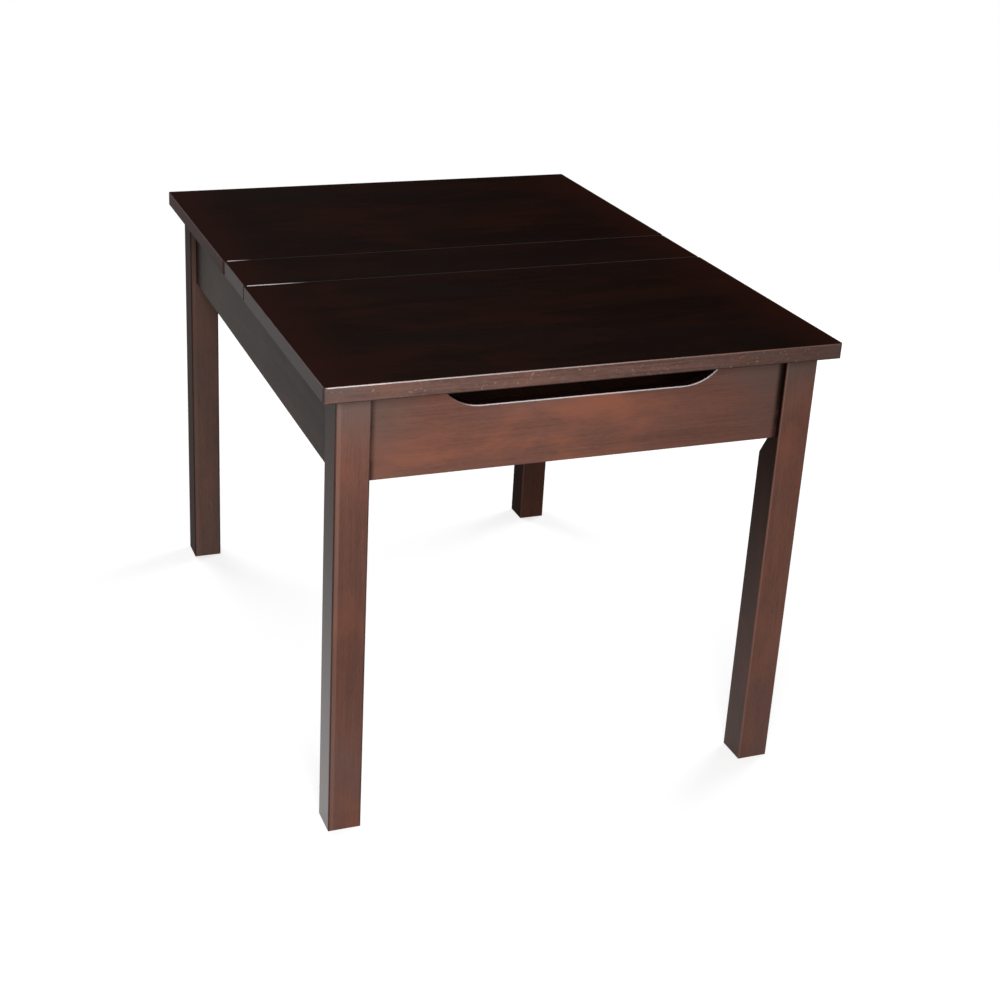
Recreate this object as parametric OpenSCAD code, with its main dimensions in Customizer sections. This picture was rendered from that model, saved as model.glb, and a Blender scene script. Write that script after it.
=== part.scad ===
// Children's storage table. The top is two lids hinged to a fixed centre strip.
// Origin: on the floor at the middle of the table. X runs along the short ends,
// Y along the long sides with the front end at -Y, and Z is up.

/* [Overall] */
// Width of the top, across the short end
table_w = 622; // [520:1:900]
// Depth of the top, along the long side
table_d = 818; // [640:1:1200]
// Height from the floor to the top
table_h = 565; // [420:1:760]

/* [Top] */
// Thickness of the lids and of the centre strip
lid_t = 19; // [16:0.5:28]
// Width of the fixed strip between the lids
strip_w = 104; // [90:1:180]
// How far the ends of the strip lie inside the ends of the lids
strip_inset = 1; // [0.5:0.5:4]
// Distance that the top stands out beyond the legs
overhang = 19; // [10:1:40]
// Radius of the top's corners, seen from above
top_corner_r = 5; // [3:0.5:12]
// Radius of the eased edges of lids and strip
top_edge_r = 1.8; // [1.4:0.1:2]

/* [Legs] */
// Side of the square leg
leg_w = 40; // [36:1:60]
// Radius of the leg's long edges
leg_edge_r = 2; // [1.5:0.5:4]
// Radius of the edges round the leg's two ends
leg_end_r = 1; // [0.5:0.25:1.5]
// Height of the slope that ends the leg's inner chamfer
runout_h = 26.5; // [15:0.5:50]
// Distance from the apron's lower edge down to the full chamfer
runout_drop = 6; // [2:0.5:20]

/* [Aprons] */
// Height of the aprons
apron_h = 104; // [96:1:150]
// Thickness of the aprons
apron_t = 16; // [14:0.5:18]
// Distance from a leg's outer face back to the apron
apron_setback = 8; // [4:0.5:12]
// Radius of the eased edges of the aprons
apron_edge_r = 1.5; // [0.5:0.5:3]
// Straight part of the finger scoop's lower edge
scoop_flat = 247; // [100:1:300]
// Depth of the finger scoop
scoop_depth = 27; // [15:1:40]
// Radius at the two ends of the finger scoop
scoop_r = 58; // [45:1:80]
// Radius of the finger scoop's rounded edges
scoop_edge_r = 2.5; // [1:0.5:4]

/* [Storage box] */
// Thickness of the floor panel
floor_t = 6; // [4:0.5:9]
// Side of the square cleats under the floor panel
cleat_w = 12; // [10:0.5:16]
// Distance from the apron's lower edge up to the cleats
cleat_lift = 2; // [0:0.5:6]
// Distance from the legs to the ends of the cleats
cleat_setback = 4; // [1:0.5:20]
// Free space left round the floor panel
floor_gap = 0.5; // [0.3:0.1:0.9]
// Thickness of the divider under the strip
divider_t = 16; // [12:0.5:18]
// Side of the square cleats that hold the strip to the divider
strip_cleat_w = 16; // [14:0.5:18]
// Distance from the side aprons to the ends of the strip cleats
strip_cleat_end = 32; // [24:1:60]

/* [Corner blocks] */
// Thickness of the diagonal corner blocks
block_t = 20; // [18:0.5:24]
// Height of the corner blocks
block_h = 66; // [60:1:76]
// Free space between a corner block and the leg, along the apron
block_gap = 1.2; // [0.6:0.1:1.3]

/* [Hinges] */
// Outer diameter of the hinge barrel
barrel_d = 3.6; // [3.4:0.1:3.8]
// Diameter of the hinge pin
hinge_pin_d = 1.8; // [1.4:0.1:2]
// Running clearance all round the hinge pin
pin_fit = 0.05; // [0.03:0.01:0.08]
// Thickness of a hinge leaf
leaf_t = 0.8; // [0.6:0.05:0.85]
// Height of a hinge leaf below the barrel
leaf_h = 11.5; // [10:0.5:12]
// Gap between the two leaves when a lid is shut
leaf_gap = 0.4; // [0.3:0.05:0.6]
// Gap between a barrel and the wood round it
barrel_gap = 0.3; // [0.2:0.05:0.4]
// Length of one knuckle, as near as the hinge allows
knuckle_len = 20; // [15:1:40]
// Gap between neighbouring knuckles
knuckle_gap = 0.3; // [0.2:0.05:0.5]
// Distance from the ends of the strip to the ends of the hinge
hinge_inset = 4; // [2:0.5:20]
// Number of screws in each leaf
leaf_screws = 7; // [4:1:11]

/* [Lid stays] */
// Angle that a lid opens
lid_open = 90; // [70:1:90]
// Radius of the stay's curve, about the hinge pin
stay_r = 86; // [80:0.5:88]
// Angle of the stud below the level of the hinge pin
stud_angle = 19; // [18:0.5:22]
// Width of the stay's bar
stay_w = 13; // [11:0.5:14]
// Thickness of the stay's bar
stay_t = 2.5; // [2:0.25:3]
// Diameter of the stud that the stay slides on
stud_d = 5; // [4:0.5:6]
// Diameter of the stud's knob and of its spacer
knob_d = 13; // [11:0.5:14]
// Thickness of the knob
knob_t = 6; // [4:0.5:8]
// Number of grip flutes round the knob
knob_flutes = 10; // [6:1:14]
// Thickness of the spacer between apron and stay
spacer_t = 3; // [2:0.5:5]
// Sliding gap on each face of the stay and in its slot
stay_gap = 0.3; // [0.25:0.05:0.5]
// Length of the stay's foot under the lid
foot_len = 44; // [36:1:60]
// Width of the stay's foot
foot_w = 15; // [14:0.5:20]
// Radius of the foot's free corners
foot_corner_r = 4; // [2:0.5:6]

/* [Fasteners] */
// Diameter of the bolts that hold the legs
bolt_d = 6; // [5:0.5:8]
// Length of a leg bolt inside the leg
bolt_grip = 28; // [20:1:30]
// Length of a leg bolt beyond its nut
bolt_tail = 4; // [2:0.5:8]
// Pitch of the thread that shows on a leg bolt's tail
thread_pitch = 1; // [0.8:0.1:1.5]
// Height between the two bolts of a leg
bolt_pitch = 36; // [30:1:40]
// Diameter of the washers under the nuts
washer_d = 16; // [13:0.5:18]
// Thickness of the washers
washer_t = 1.5; // [1:0.25:2.5]
// Width of a nut across its flats
nut_w = 10; // [9:0.5:13]
// Height of a nut
nut_t = 5; // [4:0.5:8]
// Diameter of the dowels
dowel_d = 8; // [6:0.5:9]
// Depth of a dowel in each of its two pieces
dowel_grip = 12; // [8:0.5:14]
// Chamfer on the ends of the dowels
dowel_chamfer = 1; // [0.5:0.25:2]
// Distance from the apron's edges to the dowels
dowel_edge = 15; // [12:0.5:20]
// Shank diameter of the wood screws
screw_d = 3.5; // [3:0.25:4]
// Head diameter of the wood screws
screw_head_d = 7; // [6:0.25:8]
// Length of a wood screw beyond the piece it holds
screw_bite = 10; // [6:0.5:11]
// Shank diameter of the small screws in hinges and stays
small_screw_d = 2.5; // [2:0.25:3]
// Head diameter of the small screws
small_head_d = 5; // [4:0.25:5.5]
// Length of the small screws
small_screw_len = 13; // [10:0.5:14]
// Clearance all round bolts, dowels and screws
fastener_gap = 0.1; // [0.05:0.05:0.2]

/* [Hidden] */
$fn = 64;
root2 = sqrt(2);

// How far a cut runs past the face that it opens
past = 1;
half_w = table_w / 2;
half_d = table_d / 2;
under_top = table_h - lid_t;

// Outer and inner faces of the legs and aprons, as distances from the middle
leg_out_x = half_w - overhang;
leg_out_y = half_d - overhang;
leg_in_x = leg_out_x - leg_w;
leg_in_y = leg_out_y - leg_w;
apron_out_x = leg_out_x - apron_setback;
apron_out_y = leg_out_y - apron_setback;
apron_in_x = apron_out_x - apron_t;
apron_in_y = apron_out_y - apron_t;
apron_z = under_top - apron_h;

// The chamfer of a leg runs between the inner faces of its two aprons
leg_chamfer = leg_w - apron_setback - apron_t;

// Storage box. The bites are the depths of screws, as shares of the wood that they end in
cleat_bite = 0.7;
divider_bite = 0.4;
strip_bite = 0.6;
cleat_z = apron_z + cleat_lift;
floor_z = cleat_z + cleat_w;
floor_top = floor_z + floor_t;
end_cleat_half = leg_in_x - cleat_setback;
side_cleat_half = leg_in_y - cleat_setback;
cleat_screw_share = [-0.8, 0, 0.8];
cleat_screw_len = cleat_w + screw_bite;
floor_screw_share = [-0.45, 0.45];
floor_screw_len = floor_t + cleat_w * cleat_bite;
strip_cleat_x = apron_in_x - strip_cleat_end;
strip_cleat_z = under_top - strip_cleat_w;
divider_screw_share = [-0.75, 0, 0.75];
divider_screw_len = strip_cleat_w + divider_t * divider_bite;
strip_screw_share = [-0.9, -0.4, 0.4, 0.9];
strip_screw_len = strip_cleat_w + lid_t * strip_bite;

// Corner blocks and the bolts through them
block_run = block_t * root2;
block_mid_z = floor_top + block_h / 2;
bolt_zs = [block_mid_z - bolt_pitch / 2, block_mid_z + bolt_pitch / 2];
chamfer_depth = leg_chamfer / root2;
block_face = chamfer_depth - block_gap / root2 - block_t;
nut_end = block_face - washer_t - nut_t;
block_screw_at = 0.55;
block_screw_run = block_gap + block_run * block_screw_at;
block_wall = 1;
block_wood = block_run * (1 - block_screw_at) - screw_head_d / 2 - block_wall;
block_screw_len = block_wood + screw_bite;
block_screw_share = 0.38;
block_screw_zs = block_mid_z * [1, 1] + block_screw_share * block_h * [-1, 1];
dowel_zs = [apron_z + dowel_edge, under_top - dowel_edge];

// Seams, hinge pins and leaves. The barrel's top is level with the top.
strip_half = strip_w / 2;
seam_w = 2 * leaf_t + leaf_gap;
pin_y = strip_half + seam_w / 2;
pin_z = table_h - barrel_d / 2;
lid_in_y = strip_half + seam_w;
strip_len = table_w - 2 * strip_inset;
hinge_len = strip_len - 2 * hinge_inset;
knuckles = 2 * floor(hinge_len / knuckle_len / 2) + 1;
knuckle_pitch = hinge_len / knuckles;
cove_r = barrel_d / 2 + barrel_gap;
leaf_top = pin_z - cove_r;
leaf_screw_share = 0.55;
leaf_screw_z = leaf_top - leaf_h * leaf_screw_share;

// Lid stays, in the plane of their bar
stay_x = apron_in_x - spacer_t - stay_gap - stay_t;
stud_y = stay_r * cos(stud_angle);
stud_z = -stay_r * sin(stud_angle);
slot_r = stud_d / 2 + stay_gap;
foot_z = under_top - pin_z;
foot_y = stud_y - foot_len / 2;
foot_screw_share = [0.16, 0.84];

// Length, width and depth of a screw's cross recess, as shares of the head's diameter
recess_share = [0.56, 0.16, 0.18];
// Width of a screw's blunt point, as a share of its shank
point_share = 0.4;
// Height of a thread's flank, as a share of the pitch
flank_share = 0.4;
// Width of a nut's round end, as a share of its width, and how fast the turned cone widens
nut_end_share = 0.96;
nut_slope = 2;
// Height of the knob's crown and collar, and the share of the rim that the flutes take
crown_share = 0.2;
flute_share = 0.45;
// How far a flute's middle lies outside the knob, as a share of the flute's width
flute_out = 0.2;

// Colours
top_brown = [0.11, 0.07, 0.06];
frame_brown = [0.38, 0.22, 0.17];
inside_brown = [0.30, 0.19, 0.14];
floor_brown = [0.26, 0.17, 0.13];
bare_wood = [0.80, 0.66, 0.46];
bronze = [0.30, 0.26, 0.22];
zinc = [0.72, 0.73, 0.74];
nylon = [0.12, 0.12, 0.12];

// Helpers: side is 1 or -1, and every corner or end is drawn at +X +Y first
module at_side(sx, sy) {
  mirror([sx < 0 ? 1 : 0, 0, 0]) mirror([0, sy < 0 ? 1 : 0, 0]) children();
}

module at_corners() {
  for (sx = [-1, 1], sy = [-1, 1]) at_side(sx, sy) children();
}

module rounded_rect(w, d, r) {
  square([w - 2 * r, d], center = true);
  square([w, d - 2 * r], center = true);
  for (x = [r - w / 2, w / 2 - r], y = [r - d / 2, d / 2 - r]) translate([x, y]) circle(r);
}

// A flat board on z = 0 with round corners and eased edges, centred in X and Y
module eased_board(w, d, t, corner_r, edge_r) {
  intersection() {
    linear_extrude(t) rounded_rect(w, d, corner_r);
    translate([0, 0, t / 2]) rotate([90, 0, 90])
      linear_extrude(w, center = true) rounded_rect(d, t, edge_r);
    translate([0, 0, t / 2]) rotate([90, 0, 0])
      linear_extrude(d, center = true) rounded_rect(w, t, edge_r);
  }
}

// A rail of length len along X with eased long edges, centred at its bottom
module rail(len, t, h, edge_r) {
  translate([0, 0, h / 2]) rotate([90, 0, 90])
    linear_extrude(len, center = true) rounded_rect(t, h, edge_r);
}

// Round bar along Z from z = from to z = to
module bar(d, from, to) {
  translate([0, 0, from]) cylinder(d = d, h = to - from);
}

// Countersunk screw along +Z with a cross recess and a point, its head's face at z = 0
module screw(d, head_d, len) {
  recess = head_d * recess_share;
  difference() {
    union() {
      cylinder(d1 = head_d, d2 = d, h = (head_d - d) / 2);
      bar(d, 0, len - d);
      translate([0, 0, len - d]) cylinder(d1 = d, d2 = d * point_share, h = d);
    }
    for (turn = [0, 90]) rotate([0, 0, turn])
      translate([-recess.x / 2, -recess.y / 2, -past])
        cube([recess.x, recess.y, recess.z + past]);
  }
}

// Hole for such a screw, with free space above its head
module screw_hole(d, head_d, len) {
  gap = 2 * fastener_gap;
  bar(head_d + gap, -past, 0);
  cylinder(d1 = head_d + gap, d2 = d + gap, h = (head_d - d) / 2);
  bar(d + gap, 0, len + fastener_gap);
}

// Legs, drawn at the +X +Y corner
module along_diagonal() {
  translate([leg_in_x, leg_in_y, 0]) rotate([0, 0, 45]) children();
}

module chamfer_cut() {
  full_z = apron_z - runout_drop;
  slope = runout_h / chamfer_depth;
  out = -leg_edge_r - past;
  along_diagonal() rotate([90, 0, 0]) linear_extrude(2 * leg_w, center = true) polygon([
    [out, full_z - runout_h + out * slope],
    [chamfer_depth, full_z],
    [chamfer_depth, table_h],
    [out, table_h]
  ]);
}

module leg_bolt_place() {
  along_diagonal() for (z = bolt_zs) translate([0, 0, z]) rotate([0, 90, 0]) children();
}

// Dowels between the leg and its two aprons, along +X and +Y
module apron_dowel_place() {
  for (z = dowel_zs) {
    translate([leg_in_x, apron_in_y + apron_t / 2, z]) rotate([0, 90, 0]) children();
    translate([apron_in_x + apron_t / 2, leg_in_y, z]) rotate([-90, 0, 0]) children();
  }
}

module dowel_hole() {
  bar(dowel_d + 2 * fastener_gap, -dowel_grip - fastener_gap, dowel_grip + fastener_gap);
}

module dowel() {
  body = dowel_grip - dowel_chamfer;
  bar(dowel_d, -body, body);
  for (side = [0, 1]) mirror([0, 0, side]) translate([0, 0, body])
    cylinder(d1 = dowel_d, d2 = dowel_d - 2 * dowel_chamfer, h = dowel_chamfer);
}

module leg() {
  color(frame_brown) difference() {
    translate([leg_in_x + leg_w / 2, leg_in_y + leg_w / 2, 0])
      eased_board(leg_w, leg_w, under_top, leg_edge_r, leg_end_r);
    chamfer_cut();
    leg_bolt_place()
      bar(bolt_d + 2 * fastener_gap, 0, chamfer_depth + bolt_grip + fastener_gap);
    apron_dowel_place() dowel_hole();
  }
}

// Aprons

// Profile that is cut from an apron's two faces to round the scoop's edge over.
// x is the distance into the wood and y the distance from the apron's middle
module round_over() {
  for (side = [-1, 1]) mirror([0, side < 0 ? 1 : 0]) difference() {
    translate([-past, apron_t / 2 - scoop_edge_r])
      square([scoop_edge_r + past, scoop_edge_r + past]);
    translate([scoop_edge_r, apron_t / 2 - scoop_edge_r]) circle(scoop_edge_r);
  }
}

// Finger scoop: a straight bottom between two arcs, and the round-over that follows them.
// x and y lie in the apron's face, and z runs across its thickness
module scoop() {
  linear_extrude(2 * apron_t, center = true) {
    translate([-scoop_flat / 2, 0]) square([scoop_flat, 2 * scoop_depth]);
    for (x = [-scoop_flat / 2, scoop_flat / 2]) translate([x, scoop_r]) circle(scoop_r);
  }
  rotate([90, 0, -90]) linear_extrude(scoop_flat, center = true) round_over();
  for (x = [-scoop_flat / 2, scoop_flat / 2]) translate([x, scoop_r])
    rotate_extrude() translate([scoop_r, 0]) round_over();
}

module end_apron() {
  len = 2 * leg_in_x;
  color(frame_brown) difference() {
    translate([0, apron_in_y + apron_t / 2, apron_z]) rail(len, apron_t, apron_h, apron_edge_r);
    translate([0, apron_in_y + apron_t / 2, under_top - scoop_depth]) rotate([90, 0, 0]) scoop();
    for (sx = [-1, 1]) at_side(sx, 1) {
      apron_dowel_place() dowel_hole();
      block_screw_place() screw_hole(screw_d, screw_head_d, block_screw_len);
    }
    end_cleat_screw_place() screw_hole(screw_d, screw_head_d, cleat_screw_len);
  }
}

module side_apron() {
  len = 2 * leg_in_y;
  color(frame_brown) difference() {
    translate([apron_in_x + apron_t / 2, 0, apron_z]) rotate([0, 0, 90])
      rail(len, apron_t, apron_h, apron_edge_r);
    for (sy = [-1, 1]) at_side(1, sy) {
      apron_dowel_place() dowel_hole();
      block_screw_place() screw_hole(screw_d, screw_head_d, block_screw_len);
      stud_place() bar(stud_d + 2 * fastener_gap, -past, screw_bite + fastener_gap);
      strip_dowel_place() dowel_hole();
    }
    side_cleat_screw_place() screw_hole(screw_d, screw_head_d, cleat_screw_len);
  }
}

// Corner blocks, drawn at the +X +Y corner
module block_outline() {
  near = block_gap;
  far = block_gap + block_run;
  polygon([
    [apron_in_x, leg_in_y - near],
    [apron_in_x, leg_in_y - far],
    [leg_in_x - far, apron_in_y],
    [leg_in_x - near, apron_in_y]
  ]);
}

// Screws through the block into each apron. The head lies in a counterbore
module block_screw_place() {
  for (z = block_screw_zs) {
    translate([apron_in_x - block_wood, leg_in_y - block_screw_run, z])
      rotate([0, 90, 0]) children();
    translate([leg_in_x - block_screw_run, apron_in_y - block_wood, z])
      rotate([-90, 0, 0]) children();
  }
}

module corner_block() {
  bolt_hole_d = bolt_d + 2 * fastener_gap;
  color(inside_brown) difference() {
    translate([0, 0, floor_top]) linear_extrude(block_h) block_outline();
    leg_bolt_place() bar(bolt_hole_d, block_face - past, chamfer_depth + past);
    block_screw_place() {
      screw_hole(screw_d, screw_head_d, block_screw_len);
      bar(screw_head_d + 2 * fastener_gap, -block_run, 0);
    }
  }
}

// Fasteners of the frame

// Rings of the thread that shows on a bolt's tail, cut from z = 0 upwards
module thread_rings(d, len) {
  flank = thread_pitch * flank_share;
  for (i = [0 : floor(len / thread_pitch) - 1])
    translate([0, 0, i * thread_pitch]) difference() {
      bar(d + past, 0, 2 * flank);
      cylinder(d1 = d, d2 = d - 2 * flank, h = flank);
      translate([0, 0, flank]) cylinder(d1 = d - 2 * flank, d2 = d, h = flank);
    }
}

module leg_bolts() {
  tail_end = nut_end - bolt_tail;
  crest = thread_pitch * (1 - 2 * flank_share);
  color(zinc) at_corners() leg_bolt_place() difference() {
    bar(bolt_d, tail_end, chamfer_depth + bolt_grip);
    translate([0, 0, tail_end + crest]) thread_rings(bolt_d, bolt_tail);
  }
}

module leg_bolt_washers() {
  color(zinc) at_corners() leg_bolt_place() difference() {
    bar(washer_d, block_face - washer_t, block_face);
    bar(bolt_d + 2 * fastener_gap, block_face - washer_t - past, block_face + past);
  }
}

// Hexagon nuts, the corners of their free end turned down
module leg_bolt_nuts() {
  corners = nut_w / cos(30);
  end_d = nut_w * nut_end_share;
  color(zinc) at_corners() leg_bolt_place() translate([0, 0, nut_end]) difference() {
    intersection() {
      cylinder(d = corners, h = nut_t, $fn = 6);
      cylinder(d1 = end_d, d2 = end_d + 2 * nut_slope * nut_t, h = nut_t);
    }
    bar(bolt_d + 2 * fastener_gap, -past, nut_t + past);
  }
}

module corner_block_screws() {
  color(zinc) at_corners() block_screw_place()
    screw(screw_d, screw_head_d, block_screw_len);
}

module apron_dowels() {
  color(bare_wood) at_corners() apron_dowel_place() dowel();
}

// Cleats under the floor panel

module end_cleat_screw_place() {
  for (share = cleat_screw_share)
    translate([share * end_cleat_half, apron_in_y - cleat_w, cleat_z + cleat_w / 2])
      rotate([-90, 0, 0]) children();
}

module side_cleat_screw_place() {
  for (share = cleat_screw_share)
    translate([apron_in_x - cleat_w, share * side_cleat_half, cleat_z + cleat_w / 2])
      rotate([0, 90, 0]) children();
}

// Screws down through the floor panel, between the cleat screws
module floor_screw_place() {
  for (share = floor_screw_share) {
    for (sy = [-1, 1])
      translate([share * end_cleat_half, sy * (apron_in_y - cleat_w / 2), floor_top])
        rotate([180, 0, 0]) children();
    for (sx = [-1, 1])
      translate([sx * (apron_in_x - cleat_w / 2), share * side_cleat_half, floor_top])
        rotate([180, 0, 0]) children();
  }
}

module end_cleat(sy) {
  color(inside_brown) difference() {
    at_side(1, sy) difference() {
      translate([-end_cleat_half, apron_in_y - cleat_w, cleat_z])
        cube([2 * end_cleat_half, cleat_w, cleat_w]);
      end_cleat_screw_place() screw_hole(screw_d, screw_head_d, cleat_screw_len);
    }
    floor_screw_place() screw_hole(small_screw_d, small_head_d, floor_screw_len);
  }
}

module side_cleat(sx) {
  color(inside_brown) difference() {
    at_side(sx, 1) difference() {
      translate([apron_in_x - cleat_w, -side_cleat_half, cleat_z])
        cube([cleat_w, 2 * side_cleat_half, cleat_w]);
      side_cleat_screw_place() screw_hole(screw_d, screw_head_d, cleat_screw_len);
    }
    floor_screw_place() screw_hole(small_screw_d, small_head_d, floor_screw_len);
  }
}

module cleat_screws() {
  color(zinc) for (side = [-1, 1]) {
    at_side(1, side) end_cleat_screw_place()
      screw(screw_d, screw_head_d, cleat_screw_len);
    at_side(side, 1) side_cleat_screw_place()
      screw(screw_d, screw_head_d, cleat_screw_len);
  }
}

// Floor panel, cut across at the corners to clear the legs
module floor_panel() {
  x = apron_in_x - floor_gap;
  y = apron_in_y - floor_gap;
  cut = leg_chamfer + floor_gap;
  color(floor_brown) difference() {
    translate([0, 0, floor_z]) linear_extrude(floor_t) polygon([
      [x, cut - y], [x, y - cut], [x - cut, y], [cut - x, y],
      [-x, y - cut], [-x, cut - y], [cut - x, -y], [x - cut, -y]
    ]);
    floor_screw_place() screw_hole(small_screw_d, small_head_d, floor_screw_len);
  }
}

module floor_screws() {
  color(bronze) floor_screw_place() screw(small_screw_d, small_head_d, floor_screw_len);
}

// Divider and the cleats that tie it to the strip
module divider_screw_place() {
  for (share = divider_screw_share)
    translate([share * strip_cleat_x, divider_t / 2 + strip_cleat_w,
               strip_cleat_z + strip_cleat_w / 2])
      rotate([90, 0, 0]) children();
}

module strip_screw_place() {
  for (share = strip_screw_share)
    translate([share * strip_cleat_x, divider_t / 2 + strip_cleat_w / 2, strip_cleat_z])
      children();
}

module divider() {
  color(inside_brown) difference() {
    translate([-apron_in_x, -divider_t / 2, floor_top])
      cube([2 * apron_in_x, divider_t, under_top - floor_top]);
    for (sy = [-1, 1]) at_side(1, sy) divider_screw_place()
      screw_hole(screw_d, screw_head_d, divider_screw_len);
  }
}

module strip_cleat() {
  color(inside_brown) difference() {
    translate([-strip_cleat_x, divider_t / 2, strip_cleat_z])
      cube([2 * strip_cleat_x, strip_cleat_w, strip_cleat_w]);
    divider_screw_place() screw_hole(screw_d, screw_head_d, divider_screw_len);
    strip_screw_place() screw_hole(screw_d, screw_head_d, strip_screw_len);
  }
}

module divider_screws() {
  color(zinc) for (sy = [-1, 1]) at_side(1, sy) divider_screw_place()
    screw(screw_d, screw_head_d, divider_screw_len);
}

module strip_screws() {
  color(zinc) for (sy = [-1, 1]) at_side(1, sy) strip_screw_place()
    screw(screw_d, screw_head_d, strip_screw_len);
}

// Dowels between the side aprons and the strip, along +Z
module strip_dowel_place() {
  translate([apron_in_x + apron_t / 2, strip_half / 2, under_top]) children();
}

module strip_dowels() {
  color(bare_wood) at_corners() strip_dowel_place() dowel();
}

// Hinges, drawn at +Y. The pin lies along X
module along_pin() {
  translate([0, pin_y, pin_z]) rotate([90, 0, 90]) children();
}

module cove() {
  along_pin() cylinder(r = cove_r, h = 2 * table_w, center = true);
}

module leaf_screw_place() {
  first = hinge_len / 2 - 1.5 * knuckle_pitch;
  for (i = [0 : leaf_screws - 1])
    translate([-first + i * 2 * first / (leaf_screws - 1), 0, leaf_screw_z]) children();
}

// Screws from the leaf's face into the strip (sy = -1) or into the lid (sy = 1)
module leaf_screws_at(sy) {
  leaf_screw_place() translate([0, pin_y + sy * leaf_gap / 2, 0])
    rotate([-90 * sy, 0, 0]) children();
}

// Profile of a leaf in the plane across the pin, seen along it: x is Y and y is Z
module knuckle_profile(sy) {
  difference() {
    union() {
      circle(d = barrel_d);
      translate([sy > 0 ? leaf_gap / 2 : -leaf_gap / 2 - leaf_t, leaf_top - pin_z])
        square([leaf_t, cove_r - hinge_pin_d / 2 - pin_fit]);
    }
    circle(d = hinge_pin_d + 2 * pin_fit);
  }
}

// first is 0 for the leaf that has the outermost knuckles, 1 for the other
module leaf(sy, first) {
  color(bronze) difference() {
    union() {
      translate([-hinge_len / 2, pin_y + (sy > 0 ? leaf_gap / 2 : -leaf_gap / 2 - leaf_t),
                 leaf_top - leaf_h])
        cube([hinge_len, leaf_t, leaf_h]);
      for (i = [first : 2 : knuckles - 1])
        translate([-hinge_len / 2 + i * knuckle_pitch + knuckle_gap / 2, pin_y, pin_z])
          rotate([90, 0, 90]) linear_extrude(knuckle_pitch - knuckle_gap) knuckle_profile(sy);
    }
    leaf_screws_at(sy) screw_hole(small_screw_d, small_head_d, small_screw_len);
  }
}

module hinge_pin() {
  color(bronze) along_pin()
    cylinder(d = hinge_pin_d, h = hinge_len - knuckle_gap, center = true);
}

module leaf_screws(sy) {
  color(bronze) leaf_screws_at(sy) screw(small_screw_d, small_head_d, small_screw_len);
}

// Centre strip
module centre_strip() {
  color(top_brown) difference() {
    translate([0, 0, under_top])
      eased_board(strip_len, strip_w, lid_t, top_corner_r / 2, top_edge_r);
    for (sy = [-1, 1]) at_side(1, sy) {
      cove();
      leaf_screws_at(-1) screw_hole(small_screw_d, small_head_d, small_screw_len);
      strip_screw_place() screw_hole(screw_d, screw_head_d, strip_screw_len);
    }
    at_corners() strip_dowel_place() dowel_hole();
  }
}

// Lids, drawn at +Y
module lid() {
  lid_d = half_d - lid_in_y;
  color(top_brown) difference() {
    translate([0, lid_in_y + lid_d / 2, under_top])
      eased_board(table_w, lid_d, lid_t, top_corner_r, top_edge_r);
    cove();
    leaf_screws_at(1) screw_hole(small_screw_d, small_head_d, small_screw_len);
    for (sx = [-1, 1]) at_side(sx, 1) foot_screw_place()
      screw_hole(small_screw_d, small_head_d, small_screw_len);
  }
}

// Lid stays, drawn at +X +Y in the plane across the pin: x is Y and y is Z
module sector(r_in, r_out, from, to) {
  far = 2 * r_out;
  intersection() {
    difference() {
      circle(r_out, $fn = 128);
      circle(r_in, $fn = 128);
    }
    polygon([
      [0, 0],
      far * [cos(from), sin(from)],
      far * [cos((from + to) / 2), sin((from + to) / 2)],
      far * [cos(to), sin(to)]
    ]);
  }
}

module curved_slot(half, from, to) {
  sector(stay_r - half, stay_r + half, from, to);
  for (a = [from, to]) translate(stay_r * [cos(a), sin(a)]) circle(half);
}

module stay_plate() {
  linear_extrude(stay_t) difference() {
    union() {
      curved_slot(stay_w / 2, -stud_angle - lid_open, -stud_angle);
      translate([stud_y - stay_w / 2, stud_z]) square([stay_w, foot_z - stud_z]);
      translate([foot_y, foot_z - stay_t]) square([foot_len, stay_t]);
    }
    curved_slot(slot_r, -stud_angle - lid_open, -stud_angle);
  }
}

module foot_screw_place() {
  for (share = foot_screw_share)
    translate([stay_x - foot_w / 2 + stay_t / 2, pin_y + foot_y + foot_len * share,
               under_top - stay_t])
      children();
}

module stay() {
  color(bronze) difference() {
    union() {
      translate([stay_x, pin_y, pin_z]) rotate([90, 0, 90]) stay_plate();
      translate([stay_x + stay_t - foot_w / 2, pin_y + stud_y, under_top - stay_t])
        linear_extrude(stay_t) {
          rounded_rect(foot_w, foot_len, foot_corner_r);
          translate([0, -foot_len / 2]) square([foot_w / 2, foot_len]);
        }
    }
    foot_screw_place() screw_hole(small_screw_d, small_head_d, small_screw_len);
  }
}

module stay_screws() {
  color(bronze) for (sx = [-1, 1]) at_side(sx, 1) foot_screw_place()
    screw(small_screw_d, small_head_d, small_screw_len);
}

// Stud on the inner face of the side apron, along +X from that face
module stud_place() {
  translate([apron_in_x, pin_y + stud_y, pin_z + stud_z]) rotate([0, 90, 0]) children();
}

module stay_spacers() {
  color(nylon) at_corners() stud_place() difference() {
    bar(knob_d, -spacer_t, 0);
    bar(stud_d + 2 * fastener_gap, -spacer_t - past, past);
  }
}

// Knob with grip flutes between a collar and a narrower crown, from z = -knob_t to 0
module knob() {
  crown = knob_t * crown_share;
  crown_d = knob_d - crown;
  flute_d = flute_share * PI * knob_d / knob_flutes;
  translate([0, 0, -knob_t]) cylinder(d1 = crown_d - 2 * crown, d2 = crown_d, h = crown);
  translate([0, 0, crown - knob_t]) linear_extrude(knob_t - 2 * crown) difference() {
    circle(d = knob_d);
    for (i = [0 : knob_flutes - 1]) rotate(i * 360 / knob_flutes)
      translate([knob_d / 2 + flute_d * flute_out, 0]) circle(d = flute_d);
  }
  bar(knob_d, -crown, 0);
}

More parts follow.
